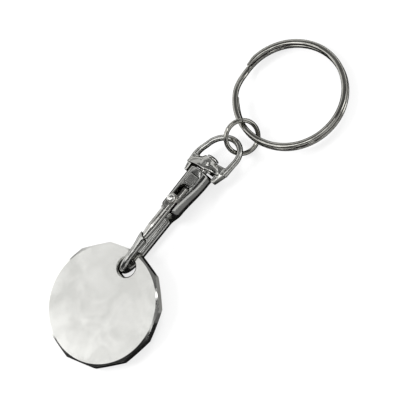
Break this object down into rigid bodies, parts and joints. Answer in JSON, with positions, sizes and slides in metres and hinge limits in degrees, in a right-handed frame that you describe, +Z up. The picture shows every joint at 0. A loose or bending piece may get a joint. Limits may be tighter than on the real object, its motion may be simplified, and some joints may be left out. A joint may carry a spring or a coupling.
{
  "type": "trolley coin keyring",
  "caption": "Keyring with a blank twelve-sided trolley token on a bolt snap hook, joined to a split key ring by a swivel eye and a jump ring.",
  "frame": {"origin": "on the table under the middle of the keyring as it lies stretched out", "axes": "+X along the clip from the token to the key ring, +Z up from the table"},
  "size_m": [0.0776, 0.0264, 0.0078],
  "materials": {
    "token_nickel": "satin nickel plate",
    "body_nickel": "polished nickel plate",
    "bolt_nickel": "polished nickel plate",
    "knob_nickel": "polished nickel plate",
    "spring_steel": "drawn steel",
    "cover_nickel": "polished nickel plate",
    "rivet_nickel": "polished nickel plate",
    "eye_nickel": "polished nickel plate",
    "jump_ring_nickel": "polished nickel plate",
    "key_ring_nickel": "polished nickel plate"
  },
  "bodies": {
    "clip": {"hook_body": "body_nickel", "spring_cover": "cover_nickel", "swivel_rivet": "rivet_nickel", "bolt_spring": "spring_steel"},
    "bolt": {"slide_bolt": "bolt_nickel", "thumb_knob": "knob_nickel"},
    "eye": {"swivel_eye": "eye_nickel"},
    "link": {"jump_ring": "jump_ring_nickel"},
    "key_ring": {"split_ring": "key_ring_nickel"},
    "token": {"coin_token": "token_nickel"}
  },
  "joints": [
    {"name": "bolt_slide", "type": "slide", "parent": "clip", "child": "bolt", "axis": [1, 0, 0], "range_m": [0, 0.0032], "stiffness_N_per_m": 300, "springref_m": -0.002, "deforming": ["bolt_spring"]},
    {"name": "eye_swivel", "type": "hinge", "parent": "clip", "child": "eye", "pos_m": [0.0055, 0.00204, 0.00272], "axis": [1, 0, 0], "continuous": true},
    {"name": "jump_ring_swing", "type": "hinge", "parent": "eye", "child": "link", "pos_m": [0.0138, 0.00084, 0.00272], "axis": [0, 1, 0], "range_deg": [-100, 6]},
    {"name": "key_ring_swing", "type": "hinge", "parent": "link", "child": "key_ring", "pos_m": [0.01653, -0.00172, 0.0027], "axis": [0, 1, 0], "range_deg": [-15, 100]},
    {"name": "token_swing", "type": "hinge", "parent": "clip", "child": "token", "pos_m": [-0.01798, 0.00141, 0.00299], "axis": [-0.0965, 0, 0.9953], "range_deg": [-65, 65]}
  ]
}
